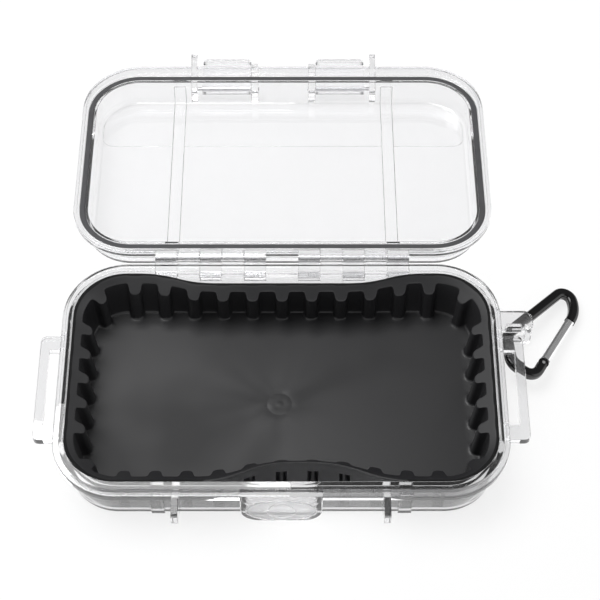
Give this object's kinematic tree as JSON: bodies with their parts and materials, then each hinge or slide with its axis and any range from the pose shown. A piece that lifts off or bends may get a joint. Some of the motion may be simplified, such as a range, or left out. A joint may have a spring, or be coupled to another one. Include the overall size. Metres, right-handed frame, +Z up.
{
  "type": "waterproof dry box",
  "caption": "Open clear waterproof box for a phone, with a ribbed rubber liner, a sealed hinged lid, two latches, strap loops and a snap hook.",
  "frame": {"origin": "on the ground, under the middle of the base", "axes": "+X to the right end with the snap hook, +Y to the hinge and the open lid, +Z up"},
  "size_m": [0.2561, 0.2884, 0.0316],
  "materials": {
    "clear_base": "clear moulded polycarbonate",
    "clear_lid": "clear moulded polycarbonate",
    "clear_latch": "clear moulded polycarbonate",
    "liner_rubber": "matt black moulded rubber",
    "seal_rubber": "dark grey silicone",
    "pin_steel": "plain stainless pins",
    "hook_black": "black anodised",
    "gate_silver": "bright anodised",
    "spring_steel": "spring wire"
  },
  "bodies": {
    "base": {"base_shell": "clear_base", "rubber_liner": "liner_rubber", "hinge_pin_right": "pin_steel", "hinge_pin_left": "pin_steel"},
    "lid": {"lid_shell": "clear_lid", "lid_seal": "seal_rubber", "latch_pin_right": "pin_steel", "latch_pin_left": "pin_steel"},
    "right_latch": {"latch_right": "clear_latch"},
    "left_latch": {"latch_left": "clear_latch"},
    "hook": {"snap_hook": "hook_black", "gate_hinge_rivet": "hook_black"},
    "gate": {"hook_gate": "gate_silver", "gate_nose_rivet": "gate_silver", "gate_spring": "spring_steel"}
  },
  "joints": [
    {"name": "lid_hinge", "type": "hinge", "parent": "base", "child": "lid", "pos_m": [0, 0.06675, 0.02795], "axis": [1, 0, 0], "range_deg": [0, 183.29]},
    {"name": "right_latch_hinge", "type": "hinge", "parent": "lid", "child": "right_latch", "pos_m": [0.032, 0.19471, 0.0055], "axis": [1, 0, 0], "range_deg": [0, 90]},
    {"name": "left_latch_hinge", "type": "hinge", "parent": "lid", "child": "left_latch", "pos_m": [-0.032, 0.19471, 0.0055], "axis": [1, 0, 0], "range_deg": [0, 90]},
    {"name": "hook_swing", "type": "hinge", "parent": "base", "child": "hook", "pos_m": [0.1055, 0.037, 0.0116], "axis": [0, -1, 0], "range_deg": [0, 18]},
    {"name": "gate_hinge", "type": "hinge", "parent": "hook", "child": "gate", "pos_m": [0.12252, 0.01938, 0.00725], "axis": [0.2473, 0, 0.9689], "range_deg": [0, 18], "stiffness_Nm_per_rad": 0.03, "springref_deg": -20.05}
  ]
}
